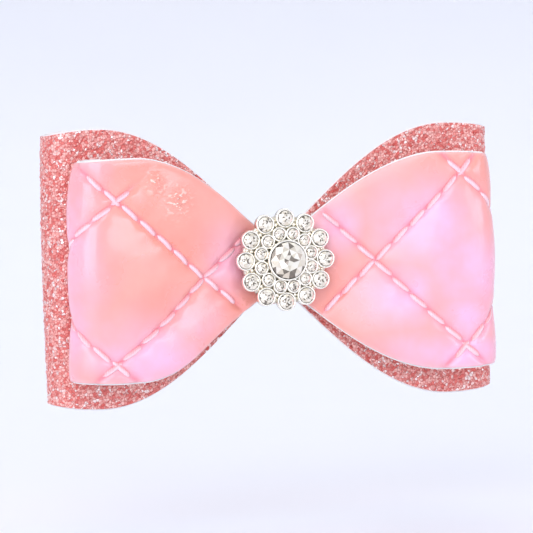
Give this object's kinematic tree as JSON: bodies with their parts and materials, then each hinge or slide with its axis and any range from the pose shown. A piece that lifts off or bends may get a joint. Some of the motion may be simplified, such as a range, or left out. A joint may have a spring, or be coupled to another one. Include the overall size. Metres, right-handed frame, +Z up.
{
  "type": "hair bow",
  "caption": "Layered loop hair bow, a quilted bow on a larger glitter bow, with a round stone-set button and a sprung clip behind that grips the hair.",
  "frame": {"origin": "where the hair is gripped: on the bow's middle plane, halfway between the clip's two jaws", "axes": "+X across the bow towards its right loops as seen from the front, +Y backwards out of the bow, towards the head, +Z up"},
  "size_m": [0.0992, 0.0313, 0.059],
  "materials": {
    "glitter": "coarse coral-pink glitter on a fabric base",
    "white_backing": "white fabric and foam backing, cut edges showing",
    "quilted_patent": "glossy salmon-pink quilted patent imitation leather",
    "thread": "salmon-pink sewing thread",
    "glue": "set hot-melt glue, translucent cream",
    "setting": "warm bright silver plate on a cast setting",
    "stone": "clear foil-backed acrylic rhinestone, faceted",
    "clip_steel": "bright nickel-plated steel sheet",
    "spring_steel": "bright drawn spring wire"
  },
  "bodies": {
    "bow": {"glitter_facing": "glitter", "glitter_backing": "white_backing", "quilted_facing": "quilted_patent", "quilted_backing": "white_backing", "quilting_thread_left": "thread", "quilting_thread_right": "thread", "centre_band": "glitter", "button_glue": "glue", "button_setting": "setting", "centre_stone": "stone", "outer_stone_01": "stone", "outer_stone_02": "stone", "outer_stone_03": "stone", "outer_stone_04": "stone", "outer_stone_05": "stone", "outer_stone_06": "stone", "outer_stone_07": "stone", "outer_stone_08": "stone", "outer_stone_09": "stone", "outer_stone_10": "stone", "outer_stone_11": "stone", "outer_stone_12": "stone", "inner_stone_01": "stone", "inner_stone_02": "stone", "inner_stone_03": "stone", "inner_stone_04": "stone", "inner_stone_05": "stone", "inner_stone_06": "stone", "inner_stone_07": "stone", "inner_stone_08": "stone", "inner_stone_09": "stone", "inner_stone_10": "stone", "inner_stone_11": "stone", "inner_stone_12": "stone", "clip_glue": "glue", "clip_fixed_jaw": "clip_steel", "clip_pin": "clip_steel", "clip_spring": "spring_steel"},
    "clip_jaw": {"clip_moving_jaw": "clip_steel"}
  },
  "joints": [
    {"name": "clip_hinge", "type": "hinge", "parent": "bow", "child": "clip_jaw", "pos_m": [0.009, 0.0011, 0], "axis": [0, 0, -1], "range_deg": [0, 30], "stiffness_Nm_per_rad": 0.05, "springref_deg": -28.65, "deforming": ["clip_spring"]}
  ]
}
